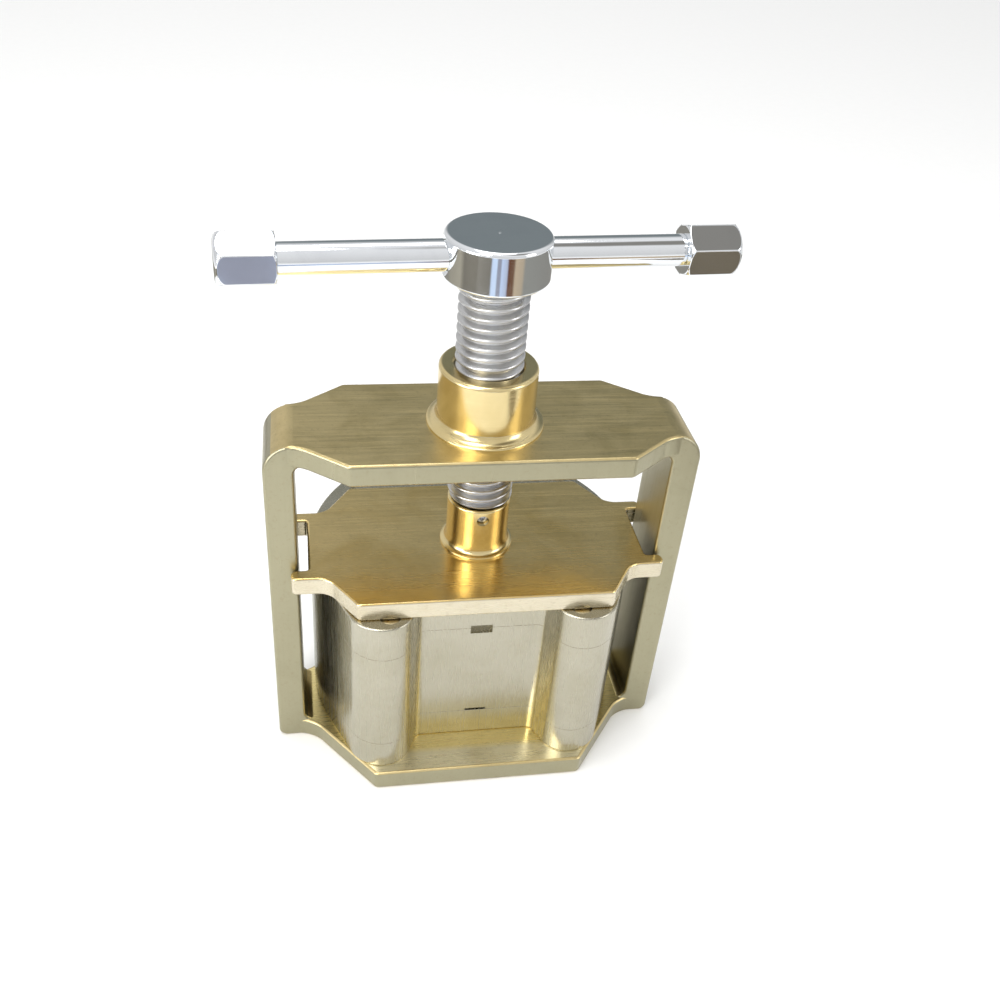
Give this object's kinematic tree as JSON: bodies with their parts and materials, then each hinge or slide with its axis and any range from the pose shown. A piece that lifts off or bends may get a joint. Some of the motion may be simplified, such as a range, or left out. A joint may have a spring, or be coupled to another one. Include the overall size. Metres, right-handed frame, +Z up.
{
  "type": "denture flask press",
  "caption": "Brass screw press with a forked pressure plate and a sliding T-handle, clamping a closed three-part denture flask.",
  "frame": {"origin": "centre of the base plate's underside, under the screw's axis", "axes": "+Z up along the screw, -Y towards the open front with the flask's lobes, X across the two columns"},
  "size_m": [0.1424, 0.099, 0.1785],
  "materials": {
    "frame_brass": "satin, brushed",
    "plate_brass": "satin, brushed",
    "flask_brass": "satin, turned and ground",
    "pin_brass": "turned",
    "steel": "turned",
    "chrome": "polished"
  },
  "bodies": {
    "frame": {"press_frame": "frame_brass"},
    "plate": {"pressure_plate": "plate_brass", "retaining_screw": "steel"},
    "screw": {"spindle": "steel", "spindle_head": "chrome"},
    "handle": {"tommy_bar": "chrome", "bar_cap_left": "chrome", "bar_cap_right": "chrome"},
    "flask": {"flask_lower": "flask_brass", "flask_ring": "flask_brass", "flask_upper": "flask_brass", "flask_pin_left": "pin_brass", "flask_pin_right": "pin_brass"}
  },
  "joints": [
    {"name": "plate_lift", "type": "slide", "parent": "frame", "child": "plate", "axis": [0, 0, 1], "range_m": [0, 0.0181]},
    {"name": "screw_turn", "type": "hinge", "parent": "plate", "child": "screw", "pos_m": [0, 0, 0.0765], "axis": [0, 0, 1], "range_deg": [0, 2160]},
    {"name": "bar_slide", "type": "slide", "parent": "screw", "child": "handle", "axis": [0.9981, 0.061, 0], "range_m": [-0.0375, 0.0433]},
    {"name": "flask_slide", "type": "slide", "parent": "frame", "child": "flask", "axis": [0, -1, 0], "range_m": [0, 0.1]}
  ],
  "couplings": [
    {"joint": "plate_lift", "follows": "screw_turn", "m_per_rad": 0.00047746}
  ]
}
